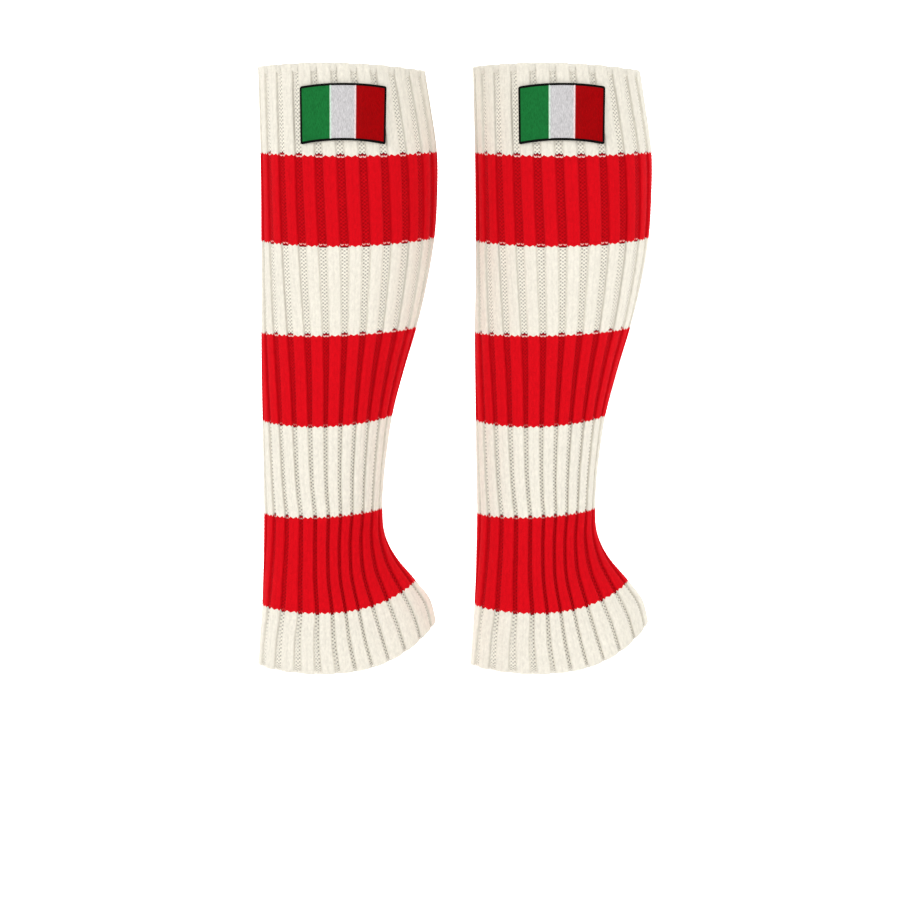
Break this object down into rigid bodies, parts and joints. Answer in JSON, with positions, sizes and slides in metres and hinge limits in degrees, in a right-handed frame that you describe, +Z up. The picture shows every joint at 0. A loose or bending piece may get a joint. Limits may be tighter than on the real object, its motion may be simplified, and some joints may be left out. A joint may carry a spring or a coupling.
{
  "type": "pair of leg warmers",
  "caption": "Pair of striped rib-knit leg warmers, filled out as worn: open ribbed tubes with a flag patch below the top rim.",
  "frame": {"origin": "centre of the top opening of the left leg warmer, at the height of its rim on the shin line", "axes": "+Z up the leg, +X from the shin to the calf and heel, -Y the side that carries the flag patches; the right leg warmer lies 139.5 mm along +X"},
  "size_m": [0.2576, 0.1055, 0.3958],
  "materials": {
    "cream_knit": "cream acrylic yarn in 2x2 rib, soft and matt",
    "red_knit": "red acrylic yarn in 2x2 rib, soft and matt",
    "flag_patch": "dense embroidery in green, white and red with a black overlocked edge, satin sheen"
  },
  "bodies": {
    "root": {"left_tube": "cream_knit", "left_patch": "flag_patch", "right_tube": "cream_knit", "right_patch": "flag_patch"}
  },
  "joints": []
}
